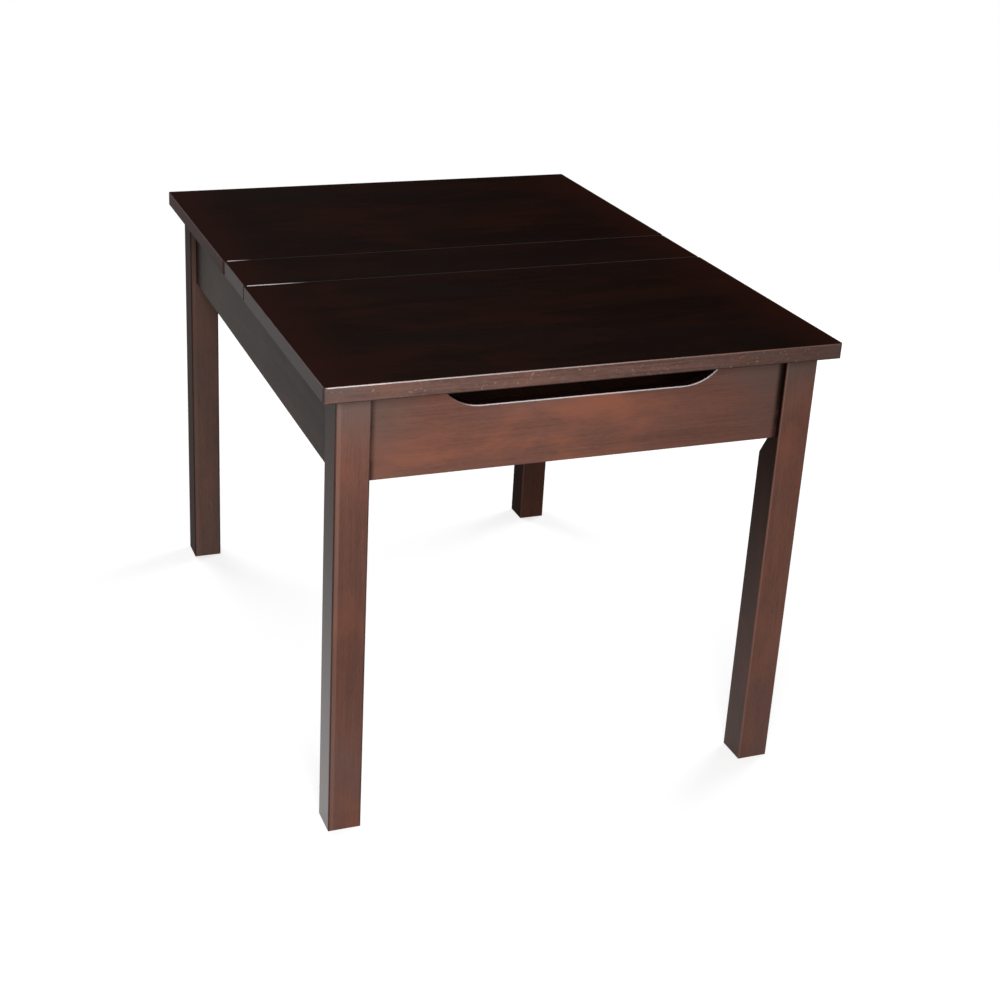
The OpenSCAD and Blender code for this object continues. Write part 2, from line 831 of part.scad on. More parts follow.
module stay_knobs() {
  inner = -spacer_t - 2 * stay_gap - stay_t;
  color(bronze) at_corners() stud_place() {
    bar(stud_d, inner, screw_bite);
    translate([0, 0, inner]) knob();
  }
}

at_side(-1, -1) leg();  // leg_front_left
at_side(1, -1) leg();  // leg_front_right
at_side(-1, 1) leg();  // leg_rear_left
at_side(1, 1) leg();  // leg_rear_right
at_side(1, -1) end_apron();  // front_apron
end_apron();  // rear_apron
at_side(-1, 1) side_apron();  // left_apron
side_apron();  // right_apron
apron_dowels();
at_side(-1, -1) corner_block();  // corner_block_front_left
at_side(1, -1) corner_block();  // corner_block_front_right
at_side(-1, 1) corner_block();  // corner_block_rear_left
corner_block();  // corner_block_rear_right
corner_block_screws();
leg_bolts();
leg_bolt_washers();
leg_bolt_nuts();
end_cleat(-1);  // front_cleat
end_cleat(1);  // rear_cleat
side_cleat(-1);  // left_cleat
side_cleat(1);  // right_cleat
cleat_screws();
floor_panel();
floor_screws();
divider();
at_side(1, -1) strip_cleat();  // strip_front_cleat
strip_cleat();  // strip_rear_cleat
divider_screws();
centre_strip();
strip_dowels();
strip_screws();
at_side(1, -1) lid();  // front_lid
at_side(1, -1) leaf(-1, 0);  // front_hinge_fixed_leaf
at_side(1, -1) leaf(1, 1);  // front_hinge_lid_leaf
at_side(1, -1) hinge_pin();  // front_hinge_pin
at_side(1, -1) leaf_screws(-1);  // front_hinge_fixed_screws
at_side(1, -1) leaf_screws(1);  // front_hinge_lid_screws
at_side(-1, -1) stay();  // front_stay_left
at_side(1, -1) stay();  // front_stay_right
at_side(1, -1) stay_screws();  // front_stay_screws
lid();  // rear_lid
leaf(-1, 0);  // rear_hinge_fixed_leaf
leaf(1, 1);  // rear_hinge_lid_leaf
hinge_pin();  // rear_hinge_pin
leaf_screws(-1);  // rear_hinge_fixed_screws
leaf_screws(1);  // rear_hinge_lid_screws
at_side(-1, 1) stay();  // rear_stay_left
stay();  // rear_stay_right
stay_screws();  // rear_stay_screws
stay_spacers();
stay_knobs();
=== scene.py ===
"""Looks of the kids table: camera, studio and the finish of every node of the frame."""

import math

import bpy
from mathutils import Matrix, Vector


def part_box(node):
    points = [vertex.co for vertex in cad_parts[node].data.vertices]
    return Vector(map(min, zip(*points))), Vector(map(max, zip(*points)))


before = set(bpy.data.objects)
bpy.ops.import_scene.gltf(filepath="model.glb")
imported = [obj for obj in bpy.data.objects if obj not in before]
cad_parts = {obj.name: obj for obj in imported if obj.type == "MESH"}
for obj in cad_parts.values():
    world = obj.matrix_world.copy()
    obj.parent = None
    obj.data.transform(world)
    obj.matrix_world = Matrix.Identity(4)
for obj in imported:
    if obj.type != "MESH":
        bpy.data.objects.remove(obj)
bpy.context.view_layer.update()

X, Y, Z = 0, 1, 2


def srgb(r, g, b):
    """A colour written as 0 to 255 in sRGB, as the linear values that Blender takes."""
    return tuple(
        v / 12.92 if v <= 0.04045 else ((v + 0.055) / 1.055) ** 2.4
        for v in (r / 255, g / 255, b / 255)
    )


def grey(level):
    return (level, level, level, 1.0)


def direction(azimuth, elevation):
    """The way from the table to a place that lies azimuth degrees round to the right of its
    front end and elevation degrees up."""
    az, el = math.radians(azimuth), math.radians(elevation)
    return Vector(
        (math.sin(az) * math.cos(el), -math.cos(az) * math.cos(el), math.sin(el))
    )


# Camera: the photograph's viewpoint, with the optical axis a little left of the picture's
# middle and above it
IMAGE_PX = 1000
FOCAL_PX = 1685.00
AXIS_PX = (450, 430)
SENSOR_WIDTH = 36.0
FARTHEST = 100.0
CAMERA_AT = (-0.76640, -1.97002, 1.18969)
CAMERA_AZIMUTH, CAMERA_ELEVATION, CAMERA_ROLL = -20.92, 22.29, 2.65


def make_camera():
    data = bpy.data.cameras.new("camera")
    data.sensor_width = SENSOR_WIDTH
    data.lens = FOCAL_PX / IMAGE_PX * SENSOR_WIDTH
    data.shift_x = 0.5 - AXIS_PX[0] / IMAGE_PX
    data.shift_y = AXIS_PX[1] / IMAGE_PX - 0.5
    data.clip_end = FARTHEST
    roll = math.radians(CAMERA_ROLL)
    back = direction(CAMERA_AZIMUTH, CAMERA_ELEVATION)
    level = (-back).cross(Vector((0, 0, 1))).normalized()
    raised = level.cross(-back)
    right = level * math.cos(roll) + raised * math.sin(roll)
    up = raised * math.cos(roll) - level * math.sin(roll)
    camera = bpy.data.objects.new("camera", data)
    camera.matrix_world = Matrix.Translation(CAMERA_AT) @ Matrix(
        (right, up, back)
    ).transposed().to_4x4()
    bpy.context.scene.collection.objects.link(camera)
    bpy.context.scene.camera = camera


# Nodes
def add(tree, kind, inputs=None, **settings):
    """A node of that kind. inputs holds values, or sockets to link, by name or number."""
    made = tree.nodes.new("ShaderNode" + kind)
    for name, value in settings.items():
        setattr(made, name, value)
    for key, value in (inputs or {}).items():
        if isinstance(value, bpy.types.NodeSocket):
            tree.links.new(value, made.inputs[key])
        else:
            made.inputs[key].default_value = value
    return made


def maths(tree, operation, a, b=0.0, c=0.0):
    made = add(tree, "Math", {0: a, 1: b, 2: c}, operation=operation)
    return made.outputs[0]


def between(tree, value, low, high, to_low=0.0, to_high=1.0):
    """value eased from to_low at low to to_high at high."""
    made = add(
        tree,
        "MapRange",
        {0: value, 1: low, 2: high, 3: to_low, 4: to_high},
        interpolation_type="SMOOTHSTEP",
    )
    return made.outputs[0]


def blend_colour(tree, share, a, b, mode="MIX"):
    """Colour a blended with b in that mode, to that share. A Mix node has its colours in
    inputs 6 and 7 and in output 2."""
    made = add(tree, "Mix", {0: share}, data_type="RGBA", blend_type=mode)
    for socket, value in ((made.inputs[6], a), (made.inputs[7], b)):
        if isinstance(value, bpy.types.NodeSocket):
            tree.links.new(value, socket)
        else:
            socket.default_value = (*value, 1.0)
    return made.outputs[2]


def multiplied(tree, colour, factor, share=1.0):
    return blend_colour(tree, share, colour, factor, "MULTIPLY")


def new_material(name):
    material = bpy.data.materials.new(name)
    material.use_nodes = True
    tree = material.node_tree
    tree.nodes.clear()
    return material, tree


def close(tree, shader):
    add(tree, "OutputMaterial", {0: shader})


def seen_rays(tree):
    """1 for the rays that look at the background: camera, glossy and transmission."""
    path = add(tree, "LightPath").outputs
    seen = maths(tree, "MAXIMUM", path["Is Camera Ray"], path["Is Glossy Ray"])
    return maths(tree, "MAXIMUM", seen, path["Is Transmission Ray"])


# Studio. FLOOR_GREY is the floor's colour as it lights the table. As it is seen, it glows
# by FLOOR_GLOW and takes light and shadow by FLOOR_SHADE, and from FLOOR_NEAR to FLOOR_FAR
# metres it turns plain white
AMBIENT = 0.13
FLOOR_GREY = 0.17
FLOOR_GLOW = 0.68
FLOOR_SHADE = 0.50
FLOOR_NEAR, FLOOR_FAR, FLOOR_HALF = 1.1, 2.6, 30.0
AIM = Vector((0.0, 0.0, 0.30))


def lamp(name, azimuth, elevation, distance, size, level):
    """A soft box that lights a surface facing it to about level times its colour."""
    data = bpy.data.lights.new(name, "AREA")
    data.shape = "DISK"
    data.size = size
    data.energy = level * math.pi**2 * distance**2
    back = direction(azimuth, elevation)
    made = bpy.data.objects.new(name, data)
    made.location = AIM + back * distance
    made.rotation_mode = "QUATERNION"
    made.rotation_quaternion = (-back).to_track_quat("-Z", "Y")
    made.visible_glossy = False
    made.visible_camera = False
    bpy.context.scene.collection.objects.link(made)


def make_world():
    world = bpy.data.worlds.new("studio")
    world.use_nodes = True
    tree = world.node_tree
    tree.nodes.clear()
    room = add(tree, "Background", {0: grey(1.0), 1: AMBIENT})
    shown = add(tree, "Background", {0: grey(1.0), 1: 1.0})
    mixed = add(
        tree, "MixShader", {0: seen_rays(tree), 1: room.outputs[0], 2: shown.outputs[0]}
    )
    add(tree, "OutputWorld", {0: mixed.outputs[0]})
    bpy.context.scene.world = world


def make_floor():
    material, tree = new_material("floor")
    place = add(tree, "TexCoord").outputs["Object"]
    reach = add(tree, "VectorMath", {0: place}, operation="LENGTH").outputs["Value"]
    far = between(tree, reach, FLOOR_NEAR, FLOOR_FAR)
    glow = add(tree, "Emission", {0: grey(1.0), 1: FLOOR_GLOW})
    shade = add(tree, "BsdfDiffuse", {0: grey(FLOOR_SHADE)})
    near = add(tree, "AddShader", {0: glow.outputs[0], 1: shade.outputs[0]})
    white = add(tree, "Emission", {0: grey(1.0), 1: 1.0})
    seen = add(tree, "MixShader", {0: far, 1: near.outputs[0], 2: white.outputs[0]})
    dim = add(tree, "BsdfDiffuse", {0: grey(FLOOR_GREY)})
    both = add(
        tree, "MixShader", {0: seen_rays(tree), 1: dim.outputs[0], 2: seen.outputs[0]}
    )
    close(tree, both.outputs[0])
    mesh = bpy.data.meshes.new("floor")
    h = FLOOR_HALF
    corners = [(-h, -h, 0), (h, -h, 0), (h, h, 0), (-h, h, 0)]
    mesh.from_pydata(corners, [], [(0, 1, 2, 3)])
    mesh.materials.append(material)
    floor = bpy.data.objects.new("floor", mesh)
    bpy.context.scene.collection.objects.link(floor)


# Wood. A span is the two values between which a mask grows from 0 to 1, or shrinks. Where
# a third stands after them, the mask is a hill: 1 between the two, and 0 at that distance
# outside them. These are spans of how squarely a surface faces along an axis:
UPPER_EDGE = (0.50, 0.80, 0.20)
LOWER_EDGE = (-0.85, -0.25, 0.15)
UPPER_FACE = (0.55, 0.90)
UPRIGHT_FACE = (0.2, 0.5)
LEFT_FACE = (-0.85, -0.55)
FRONT_FACE = (-0.9, -0.5)
FRONT_HALF = (-0.40, -0.10)
FLAT_FACE = (0.80, 0.95)
SCOOP_FLANK = (0.30, 0.60)
SCOOP_FLOOR = (-0.2, 0.1)
SCOOP_ROUND = (0.56, 0.84, 0.10)
SCOOP_UPPER = (0.02, 0.15)
SCOOP_LEFT_END = (0.06, 0.28)
# And these of lengths: distances, heights or X, in metres:
SEAM_WALL = (0.0011, 0.0020)
SEAM_EDGE = (0.0030, 0.0050)
LEG_ARRIS = (0.0010, 0.0024)
LEG_BORDER = (0.0025, 0.0050, 0.0025)
BESIDE_LEG = (0.0015, 0.0090)
UNDER_LID = (-0.006, -0.001)
# Spans along X over which the painted highlight on the tops' edges fades and turns red
HIGHLIGHT_LENGTH = (-0.42, 0.36)
HIGHLIGHT_TURNS_RED = (-0.30, 0.26)
RIGHT_DARKENING = (0.0, 0.30)
THIN_LACQUER = (-0.31, 0.31)
FADE_HEIGHTS = (0.25, 0.38, 0.16)
# Shares of the painted highlight at the right end of the front, on the other sides, and at
# the left end of a scoop
HIGHLIGHT_RIGHT, HIGHLIGHT_SIDES, HIGHLIGHT_SCOOP_END = 0.42, 0.16, 0.10
# Specks: turns per metre of their noise along and across, seed and span
SPECK_SPOTS, SPOT_SPAN = (250.0, 330.0, 2.9), (0.62, 0.72)
SPECK_GROUPS, GROUP_SPAN = (14.0, 60.0, 5.7), (0.46, 0.60)
SPECK_DETAIL, SPECK_LEAST = 2.0, 0.15
# How far each unit of a seed shifts the noise, along X, Y and Z
SEED_SHIFT = (3.7, 5.3, 7.9)


def coordinate(tree, axis):
    """A coordinate of the rest position, in metres."""
    place = add(tree, "TexCoord").outputs["Object"]
    return add(tree, "SeparateXYZ", {0: place}).outputs[axis]


def facing(tree, axis):
    """How squarely the surface faces along an axis, from -1 to 1."""
    normal = add(tree, "TexCoord").outputs["Normal"]
    return add(tree, "SeparateXYZ", {0: normal}).outputs[axis]


def product(tree, *masks):
    whole = masks[0]
    for mask in masks[1:]:
        whole = maths(tree, "MULTIPLY", whole, mask)
    return whole


def hill(tree, value, low, high, ease):
    """1 between low and high, easing to 0 outside them."""
    rise = between(tree, value, low - ease, low)
    fall = between(tree, value, high, high + ease, 1.0, 0.0)
    return maths(tree, "MULTIPLY", rise, fall)


def seam_distance(tree):
    """Distance from the plane through the nearer seam, in metres."""
    from_mid = maths(tree, "ABSOLUTE", coordinate(tree, Y))
    return maths(tree, "ABSOLUTE", maths(tree, "SUBTRACT", from_mid, PIN_Y))


def near_ends(tree, box, axis, reach):
    """1 at the two ends of a board, easing to 0 at reach from them."""
    low, high = box[0][axis], box[1][axis]
    offset = maths(tree, "SUBTRACT", coordinate(tree, axis), (low + high) / 2)
    half = (high - low) / 2
    return between(tree, maths(tree, "ABSOLUTE", offset), half - reach, half)


def top_edge_highlight(tree):
    """Painted highlight on the upper eased edge round a lid or the strip: strongest along
    the front, where it fades to the right, and none beside the seams."""
    front = between(tree, facing(tree, Y), *FRONT_HALF, 1.0, 0.0)
    along = between(tree, coordinate(tree, X), *HIGHLIGHT_LENGTH, 1.0, HIGHLIGHT_RIGHT)
    place = maths(tree, "MAXIMUM", product(tree, front, along), HIGHLIGHT_SIDES)
    return product(
        tree,
        hill(tree, facing(tree, Z), *UPPER_EDGE),
        between(tree, seam_distance(tree), *SEAM_EDGE),
        place,
    )


def highlight_colour(tree):
    """The painted highlight's colour: pale at the left and reddish brown at the right."""
    share = between(tree, coordinate(tree, X), *HIGHLIGHT_TURNS_RED)
    return blend_colour(tree, share, PALE_HIGHLIGHT, RED_HIGHLIGHT)


def upright(tree):
    out = maths(tree, "ABSOLUTE", facing(tree, Z))
    return between(tree, out, *UPRIGHT_FACE, 1.0, 0.0)


def right_end(tree):
    """The right half of upright faces, which is made darker."""
    right = between(tree, coordinate(tree, X), *RIGHT_DARKENING)
    return product(tree, upright(tree), right)


def lower_edges(tree):
    """Painted shade on the lower eased edge round a lid or the strip."""
    return hill(tree, facing(tree, Z), *LOWER_EDGE)


def seam_walls(tree):
    """The faces of lids and strip inside a seam, which get painted shade and no lacquer."""
    return between(tree, seam_distance(tree), *SEAM_WALL, 1.0, 0.0)


def specks(tree):
    """Pale specks in clusters on the faces that look to the front."""
    spots = noise(tree, stretched(tree, X, *SPECK_SPOTS), SPECK_DETAIL)
    groups = noise(tree, stretched(tree, X, *SPECK_GROUPS), SPECK_DETAIL)
    return product(
        tree,
        between(tree, spots, *SPOT_SPAN),
        between(tree, groups, *GROUP_SPAN, SPECK_LEAST, 1.0),
        between(tree, facing(tree, Y), *FRONT_FACE, 1.0, 0.0),
    )


def scoop_highlight(tree):
    """Painted highlight on the round-over along a finger scoop, little of it at the scoop's
    end at -X.
    """
    out = maths(tree, "ABSOLUTE", facing(tree, Y))
    return product(
        tree,
        hill(tree, out, *SCOOP_ROUND),
        between(tree, facing(tree, Z), *SCOOP_UPPER),
        between(tree, facing(tree, X), *SCOOP_LEFT_END, 1.0, HIGHLIGHT_SCOOP_END),
    )


def under_lid(tree):
    """Painted shade on legs and aprons right under the lids."""
    low, high = (LEG_HIGH.z + depth for depth in UNDER_LID)
    return between(tree, coordinate(tree, Z), low, high)


def beside_legs(tree):
    """Painted shade on an apron in the corners beside the legs."""
    steps = []
    for axis in (X, Y):
        from_mid = maths(tree, "ABSOLUTE", coordinate(tree, axis))
        steps.append(maths(tree, "SUBTRACT", LEG_LOW[axis], from_mid))
    nearest = maths(tree, "MAXIMUM", steps[0], steps[1])
    return between(tree, nearest, *BESIDE_LEG, 1.0, 0.0)


def upper_faces(tree):
    return between(tree, facing(tree, Z), *UPPER_FACE)


def scoop_walls(tree):
    """The faces of an apron that look up or lie inside its finger scoop, which get a
    painted shade.
    """
    out = maths(tree, "ABSOLUTE", facing(tree, Y))
    return product(
        tree,
        between(tree, out, *SCOOP_FLANK, 1.0, 0.0),
        between(tree, facing(tree, Z), *SCOOP_FLOOR),
    )


def arris_distance(tree):
    """Distance from the nearest long arris of a leg, in metres."""
    near = []
    for axis in (X, Y):
        from_mid = maths(tree, "ABSOLUTE", coordinate(tree, axis))
        near.append(
            maths(
                tree,
                "MINIMUM",
                maths(tree, "SUBTRACT", from_mid, LEG_LOW[axis]),
                maths(tree, "SUBTRACT", LEG_HIGH[axis], from_mid),
            )
        )
    return maths(tree, "MAXIMUM", near[0], near[1])


# The left legs get painted shade on these arrises, and the right legs a painted highlight
def leg_arrises(tree):
    return between(tree, arris_distance(tree), *LEG_ARRIS, 1.0, 0.0)


def leg_borders(tree):
    """The strip of a leg's front and back faces beside the outer arris."""
    outer = maths(tree, "ABSOLUTE", coordinate(tree, X))
    outer = maths(tree, "SUBTRACT", LEG_HIGH[X], outer)
    flat = between(tree, maths(tree, "ABSOLUTE", facing(tree, Y)), *FLAT_FACE)
    return product(tree, hill(tree, outer, *LEG_BORDER), flat)


def stretched(tree, grain, along, across, seed):
    """Object coordinates, times along in the grain's direction and times across in the
    other two, and shifted by the seed."""
    place = add(tree, "TexCoord").outputs["Object"]
    scale = [across] * 3
    scale[grain] = along
    offset = tuple(seed * shift for shift in SEED_SHIFT)
    return add(tree, "Mapping", {0: place, 1: offset, 3: scale}).outputs[0]


def noise(tree, vector, detail=3.0, roughness=0.5, distortion=0.0):
    made = add(
        tree, "TexNoise", {"Vector": vector, "Scale": 1.0, "Detail": detail,
                           "Roughness": roughness, "Distortion": distortion}
    )
    return made.outputs["Fac"]


def swing(tree, value, amount, base):
    """base plus amount times value's distance from its middle, 0.5."""
    offset = maths(tree, "SUBTRACT", value, 0.5)
    return maths(tree, "MULTIPLY_ADD", offset, amount, base)


# Layers of noise in wood: turns per metre along and across the grain, then detail,
# roughness and distortion. Each span says where a layer's share grows from 0 to 1.
# COOL_SEED is added to the board's own seed
STRAND = (13.0, 460.0, 4.0, 0.62)
FLECK, FLECK_SHARE = (120.0, 380.0, 2.0), 0.5
BAND = (2.0, 32.0, 4.0, 0.55, 0.7)
WARM = (6.0, 15.0, 4.0, 0.60, 0.4)
COOL, COOL_SEED = (4.0, 11.0, 4.0, 0.60, 0.4), 9.1
PORE, PORE_SPAN = (60.0, 1300.0, 2.0), (0.60, 0.72)
PATCH, PATCH_SPAN, PATCH_LEAST = (9.0, 40.0), (0.34, 0.62), 0.70
TONE_SPAN = (0.28, 0.72)
CLOUD_SPAN = (0.46, 0.66)
# A stave is lighter or darker than the mean by up to half of this
STAVE_SWING = 0.30
# How far the end's colour reaches, and how strong it is at the board's bottom, against its
# top. A leg has it at its top alone, over this span of that strength
END_REACH, END_LOW, LEG_END_SPAN = 0.08, 0.3, (0.5, 1.0)
# In its pores the wood's colour is multiplied by this tint, to this share
PORE_SHARE, PORE_TINT = 0.30, (0.35, 0.30, 0.28)
# What bands, pores and marks add to the roughness
BAND_ROUGH, PORE_ROUGH, MARK_ROUGH = 0.18, 0.10, -0.08
BUMP_STRENGTH, BUMP_DISTANCE, PORE_DEPTH = 0.25, 0.0002, -0.5
COAT_ROUGHNESS = 0.28
# The lacquer's weight on faces that up colours, at the left and at the right
UP_GLOSS = (0.020, 0.006)


def stave_lift(tree, width, seed):
    """How much lighter or darker each stave of a top is, by chance."""
    number = maths(tree, "DIVIDE", coordinate(tree, Y), width)
    number = maths(tree, "FLOOR", number)
    chance = add(
        tree, "TexWhiteNoise", {"W": maths(tree, "ADD", number, seed)},
        noise_dimensions="1D",
    ).outputs["Value"]
    return maths(tree, "MULTIPLY_ADD", chance, STAVE_SWING, -STAVE_SWING / 2)


def end_places(tree, box, grain, strength):
    """Where the end's colour gathers: the ends of a board, most of all at its top."""
    high = between(tree, coordinate(tree, Z), box[0].z, box[1].z, END_LOW, 1.0)
    if grain == Z:
        high = between(tree, high, *LEG_END_SPAN)
    return product(tree, near_ends(tree, box, grain, END_REACH), high, strength)


def wood(name, grain, palette, up=None, where=upper_faces, marks=(), rough=0.5, gloss=0.2,
         seed=0.0, stave=0.0, fibre=0.55, figure=0.5, warmth=0.6, smoke=0.5, box=None,
         ends=0.8, shade=1.0, side=None, sheen=None, fade=1.0, bare=None):
    """Stained or bare wood under lacquer. palette gives the colours, and up those of the
    faces that where(tree) finds, darker as a painted shade: dark and mid follow the grain,
    warm and cool lie over it in clouds, and the colour end gathers at the ends of the board
    in box, as strongly as ends says. marks are painted highlights, painted shade and other
    marks: a mask, a colour and how strong it is. shade multiplies the whole stain, making
    the board lighter or darker as painted light and shade, and fade darkens that of a leg
    round its middle as painted shade. side multiplies it on the faces that look towards -X,
    by its first value at the floor and its second at the top, as painted shade. The
    lacquer's weight is gloss, or eases between gloss's two values along the grain. sheen,
    which needs side and a single gloss, makes it ease on the faces towards -X, from sheen
    at the floor to gloss at the top. No lacquer lies where bare(tree) finds a place."""
    material, tree = new_material(name)

    def layer(along, across, detail=3.0, roughness=0.5, distortion=0.0, other=0.0):
        vector = stretched(tree, grain, along, across, seed + other)
        return noise(tree, vector, detail, roughness, distortion)

    strand = layer(*STRAND)
    fleck = layer(*FLECK)
    band = layer(*BAND)
    warm = layer(*WARM)
    cool = layer(*COOL, COOL_SEED)
    pore = between(tree, layer(*PORE), *PORE_SPAN)
    if stave:
        band = maths(tree, "ADD", band, stave_lift(tree, stave, seed))
    tone = swing(tree, strand, fibre, 0.5)
    tone = swing(tree, fleck, fibre * FLECK_SHARE, tone)
    tone = swing(tree, band, figure, tone)
    tone = between(tree, tone, *TONE_SPAN)
    warm = maths(tree, "MULTIPLY", between(tree, warm, *CLOUD_SPAN), warmth)
    cool = maths(tree, "MULTIPLY", between(tree, cool, *CLOUD_SPAN), smoke)
    end_share = end_places(tree, box, grain, ends) if box else None

    def stained(colours):
        colour = blend_colour(tree, tone, colours["dark"], colours["mid"])
        colour = blend_colour(tree, warm, colour, colours["warm"])
        colour = blend_colour(tree, cool, colour, colours["cool"])
        if end_share:
            colour = blend_colour(tree, end_share, colour, colours["end"])
        return colour

    colour = stained(palette)
    # Painted shade: the faces that where finds take the darker up colours
    if up:
        upward = where(tree)
        colour = blend_colour(tree, upward, colour, stained(up))
    # Painted light and shade: the whole board lighter or darker
    if shade != 1.0:
        colour = multiplied(tree, colour, (shade,) * 3)
    # Painted shade on the faces towards -X, eased with height
    if side:
        height = between(tree, coordinate(tree, Z), 0.0, LEG_HIGH.z, *side)
        shaded = multiplied(tree, colour, height)
        left = between(tree, facing(tree, X), *LEFT_FACE, 1.0, 0.0)
        colour = blend_colour(tree, left, colour, shaded)
    # Painted shade round a leg's middle
    if fade != 1.0:
        middle = hill(tree, coordinate(tree, Z), *FADE_HEIGHTS)
        shaded = maths(tree, "MULTIPLY_ADD", middle, fade - 1.0, 1.0)
        colour = multiplied(tree, colour, shaded)
    darker = maths(tree, "MULTIPLY", pore, PORE_SHARE)
    colour = multiplied(tree, colour, PORE_TINT, darker)
    uneven = swing(tree, band, BAND_ROUGH, rough)
    uneven = maths(tree, "MULTIPLY_ADD", pore, PORE_ROUGH, uneven)
    patchy = between(tree, layer(*PATCH), *PATCH_SPAN, PATCH_LEAST, 1.0)
    # Marks: painted highlights, painted shade and other marks
    for mask, mark_colour, strength in marks:
        share = product(tree, mask(tree), patchy, strength)
        if callable(mark_colour):
            mark_colour = mark_colour(tree)
        colour = blend_colour(tree, share, colour, mark_colour)
        uneven = maths(tree, "MULTIPLY_ADD", share, MARK_ROUGH, uneven)
    height = maths(tree, "MULTIPLY_ADD", pore, PORE_DEPTH, strand)
    bump = add(
        tree,
        "Bump",
        {"Strength": BUMP_STRENGTH, "Distance": BUMP_DISTANCE, "Height": height},
    )
    lacquer = gloss
    if isinstance(gloss, tuple):
        lacquer = between(
            tree, coordinate(tree, grain), box[0][grain], box[1][grain], *gloss
        )
    if sheen:
        more = between(tree, coordinate(tree, Z), 0.0, LEG_HIGH.z, sheen - gloss, 0.0)
        lacquer = maths(tree, "MULTIPLY_ADD", left, more, gloss)
    if up:
        thin = between(tree, coordinate(tree, X), *THIN_LACQUER, *UP_GLOSS)
        less = maths(tree, "SUBTRACT", thin, lacquer)
        lacquer = maths(tree, "MULTIPLY_ADD", upward, less, lacquer)
    if bare:
        rest = maths(tree, "SUBTRACT", 1.0, bare(tree))
        lacquer = maths(tree, "MULTIPLY", lacquer, rest)
    shader = add(
        tree,
        "BsdfPrincipled",
        {
            "Base Color": colour,
            "Roughness": uneven,
            "Specular IOR Level": 0.0,
            "Coat Weight": lacquer,
            "Coat Roughness": COAT_ROUGHNESS,
            "Normal": bump.outputs[0],
        },
    )
    close(tree, shader.outputs[0])
    return material


# Metal: turns per metre of its fine noise, how many fine turns make a broad one, the
# detail of both, the span of its stain, how uneven the roughness is, and the bump's
# strength and distance
METAL_SCALE, METAL_BROAD = 300.0, 8
FINE_DETAIL, BROAD_DETAIL = 4.0, 2.0
METAL_STAIN = (0.40, 0.65)
METAL_UNEVEN = 0.25
METAL_BUMP, METAL_BUMP_DISTANCE = 0.2, 0.0001


def metal(name, colour, stain, rough, metallic, shine=0.5, scale=METAL_SCALE,
          highlight_span=None):
    """Plated or painted steel, or nylon, with a fine uneven surface. Its last argument
    gives the two X between which a painted highlight, whole at the left end, fades."""
    material, tree = new_material(name)
    place = add(tree, "TexCoord").outputs["Object"]
    fine = add(
        tree, "TexNoise", {"Vector": place, "Scale": scale, "Detail": FINE_DETAIL}
    )
    broad = add(
        tree,
        "TexNoise",
        {"Vector": place, "Scale": scale / METAL_BROAD, "Detail": BROAD_DETAIL},
    )
    stained = between(tree, broad.outputs["Fac"], *METAL_STAIN)
    mixed = blend_colour(tree, stained, colour, stain)
    # Painted highlight at the left end of a hinge
    if highlight_span:
        share = between(tree, coordinate(tree, X), *highlight_span, 1.0, 0.0)
        mixed = blend_colour(tree, share, mixed, HINGE_HIGHLIGHT)
    uneven = swing(tree, fine.outputs["Fac"], METAL_UNEVEN, rough)
    bump = add(
        tree,
        "Bump",
        {
            "Strength": METAL_BUMP,
            "Distance": METAL_BUMP_DISTANCE,
            "Height": fine.outputs["Fac"],
        },
    )
    shader = add(
        tree,
        "BsdfPrincipled",
        {
            "Base Color": mixed,
            "Roughness": uneven,
            "Metallic": metallic,
            "Specular IOR Level": shine,
            "Normal": bump.outputs[0],
        },
    )
    close(tree, shader.outputs[0])
    return material


# Places that the masks use, and the width of a stave in the top
LEG_LOW, LEG_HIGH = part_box("leg_rear_right")
PIN_Y = sum(v.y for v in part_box("rear_hinge_pin")) / 2
STAVE = 0.068

# Palettes
# This near-black palette for faces that look up, the tops and the scoops' ledges, is a
# painted shade
UPWARD_SHADE = dict(dark=srgb(20, 11, 8), mid=srgb(30, 15, 11), warm=srgb(39, 17, 11),
                cool=srgb(22, 16, 14), end=srgb(40, 18, 13))
BROWN = dict(dark=srgb(98, 66, 57), mid=srgb(119, 79, 67), warm=srgb(142, 87, 67),
             cool=srgb(102, 82, 77), end=srgb(94, 80, 74))
EDGE = dict(dark=srgb(82, 61, 55), mid=srgb(108, 80, 72), warm=srgb(120, 82, 69),
            cool=srgb(98, 84, 81), end=srgb(96, 82, 80))
REAR_EDGE = dict(EDGE, end=srgb(126, 78, 73))
# The left apron's palette: BROWN greyed and darkened, a painted shade and painted
# reflection
SHADED_SIDE = dict(dark=srgb(60, 49, 43), mid=srgb(84, 67, 58), warm=srgb(94, 70, 60),
            cool=srgb(62, 55, 50), end=srgb(72, 63, 57))
# The rear left leg's palette: BROWN made lighter and greyer, a painted light
LIT_BROWN = dict(dark=srgb(100, 79, 72), mid=srgb(120, 92, 83), warm=srgb(132, 93, 79),
              cool=srgb(106, 90, 84), end=srgb(98, 85, 79))
INNER = dict(dark=srgb(96, 68, 57), mid=srgb(124, 87, 72), warm=srgb(136, 89, 70),
             cool=srgb(104, 80, 70), end=srgb(94, 70, 59))
PANEL = dict(dark=srgb(88, 61, 50), mid=srgb(116, 82, 66), warm=srgb(126, 84, 65),
             cool=srgb(98, 74, 62), end=srgb(86, 63, 53))
BARE = dict(dark=srgb(196, 160, 112), mid=srgb(218, 186, 138), warm=srgb(204, 166, 116),
            cool=srgb(206, 178, 136), end=srgb(198, 164, 118))

